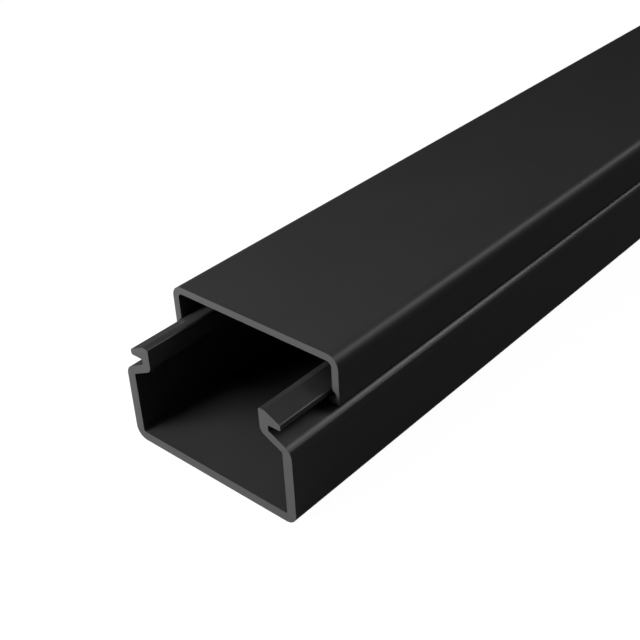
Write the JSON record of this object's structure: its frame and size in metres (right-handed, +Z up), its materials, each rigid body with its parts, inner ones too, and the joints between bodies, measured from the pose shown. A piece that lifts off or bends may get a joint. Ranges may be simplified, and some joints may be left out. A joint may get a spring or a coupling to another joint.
{
  "type": "cord cover raceway",
  "caption": "Straight length of two-piece cable raceway: a flat-backed channel with barbed rims and a flat cover that snaps over them and slides along.",
  "frame": {"origin": "middle of the underside of the channel, half way along its length and its width", "axes": "+Z up, away from the wall or floor that the channel is fixed to; +Y along the length, away from the end where the channel shows; +X across the width"},
  "size_m": [0.025, 1.0078, 0.017],
  "materials": {
    "channel_plastic": "smooth satin black, as extruded",
    "cover_plastic": "smooth satin black, as extruded"
  },
  "bodies": {
    "channel": {"base_channel": "channel_plastic"},
    "cover": {"snap_cover": "cover_plastic"}
  },
  "joints": [
    {"name": "cover_slide", "type": "slide", "parent": "channel", "child": "cover", "axis": [0, 1, 0], "range_m": [-0.0078, 0.9]}
  ]
}
